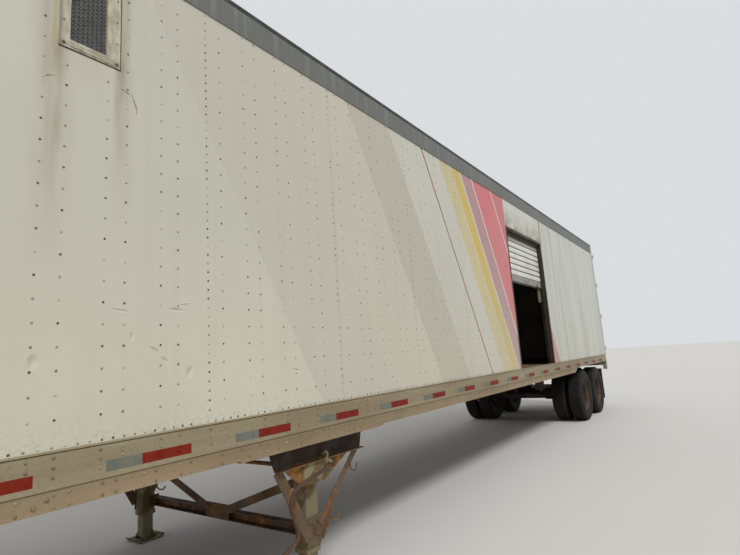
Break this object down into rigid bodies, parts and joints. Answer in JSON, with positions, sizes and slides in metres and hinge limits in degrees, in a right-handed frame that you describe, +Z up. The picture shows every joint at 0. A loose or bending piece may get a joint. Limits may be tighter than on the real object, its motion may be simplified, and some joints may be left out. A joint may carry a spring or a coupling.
{
  "type": "van semi trailer",
  "caption": "Sheet-and-post dry van semi trailer with rear swing doors, a roll-up side door, a tandem of twin wheels and two-leg landing gear.",
  "frame": {"origin": "on the ground, under the middle of the trailer", "axes": "+X from the front wall to the rear doors, +Y to the right-hand side, +Z up"},
  "size_m": [14.75, 2.626, 4.115],
  "materials": {
    "skin_paint": "dirty satin white paint on aluminium sheet",
    "door_paint": "satin white paint",
    "lining": "worn plywood and hardwood",
    "rail_aluminium": "dulled, dusty extruded aluminium",
    "cap_paint": "grey paint with a black cap",
    "roof_aluminium": "mill finish sheet",
    "galvanised": "weathered hot-dip galvanising",
    "chassis_paint": "black chassis paint, rusting",
    "gear_rust": "grey paint worn to brown rust",
    "wheel_rust": "rust-brown disc wheels",
    "cast_steel": "rusty cast steel",
    "tyre_rubber": "worn road tyre",
    "black_rubber": "matte black rubber",
    "kingpin_steel": "greasy forged steel",
    "jamb_metal": "dark brown paint, with bare trim",
    "curtain_paint": "off-white baked enamel",
    "vent_aluminium": "dusty aluminium",
    "vent_mesh_steel": "dark expanded metal",
    "amber_lens": "moulded amber lens",
    "red_lens": "moulded red lens",
    "coupling_metal": "cast couplings"
  },
  "bodies": {
    "left_front_wheels": {"left_front_tyres": "tyre_rubber", "left_front_discs": "wheel_rust", "left_front_hub": "cast_steel"},
    "left_rear_wheels": {"left_rear_tyres": "tyre_rubber", "left_rear_discs": "wheel_rust", "left_rear_hub": "cast_steel"},
    "right_front_wheels": {"right_front_tyres": "tyre_rubber", "right_front_discs": "wheel_rust", "right_front_hub": "cast_steel"},
    "right_rear_wheels": {"right_rear_tyres": "tyre_rubber", "right_rear_discs": "wheel_rust", "right_rear_hub": "cast_steel"},
    "rear_door_left": {"rear_door_left": "door_paint", "rear_door_left_locks": "galvanised"},
    "rear_door_right": {"rear_door_right": "door_paint", "rear_door_right_locks": "galvanised"},
    "root": {"air_couplings": "coupling_metal", "air_tank": "chassis_paint", "amber_lamps": "amber_lens", "axles": "cast_steel", "bottom_rails": "rail_aluminium", "brake_chambers": "chassis_paint", "coupler_plate": "chassis_paint", "crossmembers": "chassis_paint", "dock_bumpers": "black_rubber", "electric_socket": "coupling_metal", "floor": "lining", "front_corner_posts": "skin_paint", "front_wall": "skin_paint", "kingpin": "kingpin_steel", "landing_braces": "gear_rust", "landing_crank": "gear_rust", "landing_legs": "gear_rust", "landing_mounts": "gear_rust", "leaf_springs": "cast_steel", "left_wall_front": "skin_paint", "left_wall_over_door": "skin_paint", "left_wall_rear": "skin_paint", "mud_flaps": "black_rubber", "rear_frame": "galvanised", "rear_guard": "chassis_paint", "red_lamps": "red_lens", "right_wall": "skin_paint", "roof_bows": "galvanised", "roof_panel": "roof_aluminium", "side_door_coil": "curtain_paint", "side_door_curtain": "curtain_paint", "side_door_frame": "jamb_metal", "side_door_guides": "galvanised", "suspension_frame": "chassis_paint", "top_rails": "cap_paint", "vent_frame": "vent_aluminium", "vent_mesh": "vent_mesh_steel"}
  },
  "joints": [
    {"name": "left_front_wheels_spin", "type": "hinge", "parent": "root", "child": "left_front_wheels", "pos_m": [4.705, -0.985, 0.51], "axis": [0, 1, 0], "continuous": true},
    {"name": "left_rear_wheels_spin", "type": "hinge", "parent": "root", "child": "left_rear_wheels", "pos_m": [5.935, -0.985, 0.51], "axis": [0, 1, 0], "continuous": true},
    {"name": "right_front_wheels_spin", "type": "hinge", "parent": "root", "child": "right_front_wheels", "pos_m": [4.705, 0.985, 0.51], "axis": [0, 1, 0], "continuous": true},
    {"name": "right_rear_wheels_spin", "type": "hinge", "parent": "root", "child": "right_rear_wheels", "pos_m": [5.935, 0.985, 0.51], "axis": [0, 1, 0], "continuous": true},
    {"name": "rear_door_left_hinge", "type": "hinge", "parent": "root", "child": "rear_door_left", "pos_m": [7.36, -1.296, 2.6], "axis": [0, 0, -1], "range_deg": [0, 270]},
    {"name": "rear_door_right_hinge", "type": "hinge", "parent": "root", "child": "rear_door_right", "pos_m": [7.36, 1.296, 2.6], "axis": [0, 0, 1], "range_deg": [0, 270]}
  ]
}
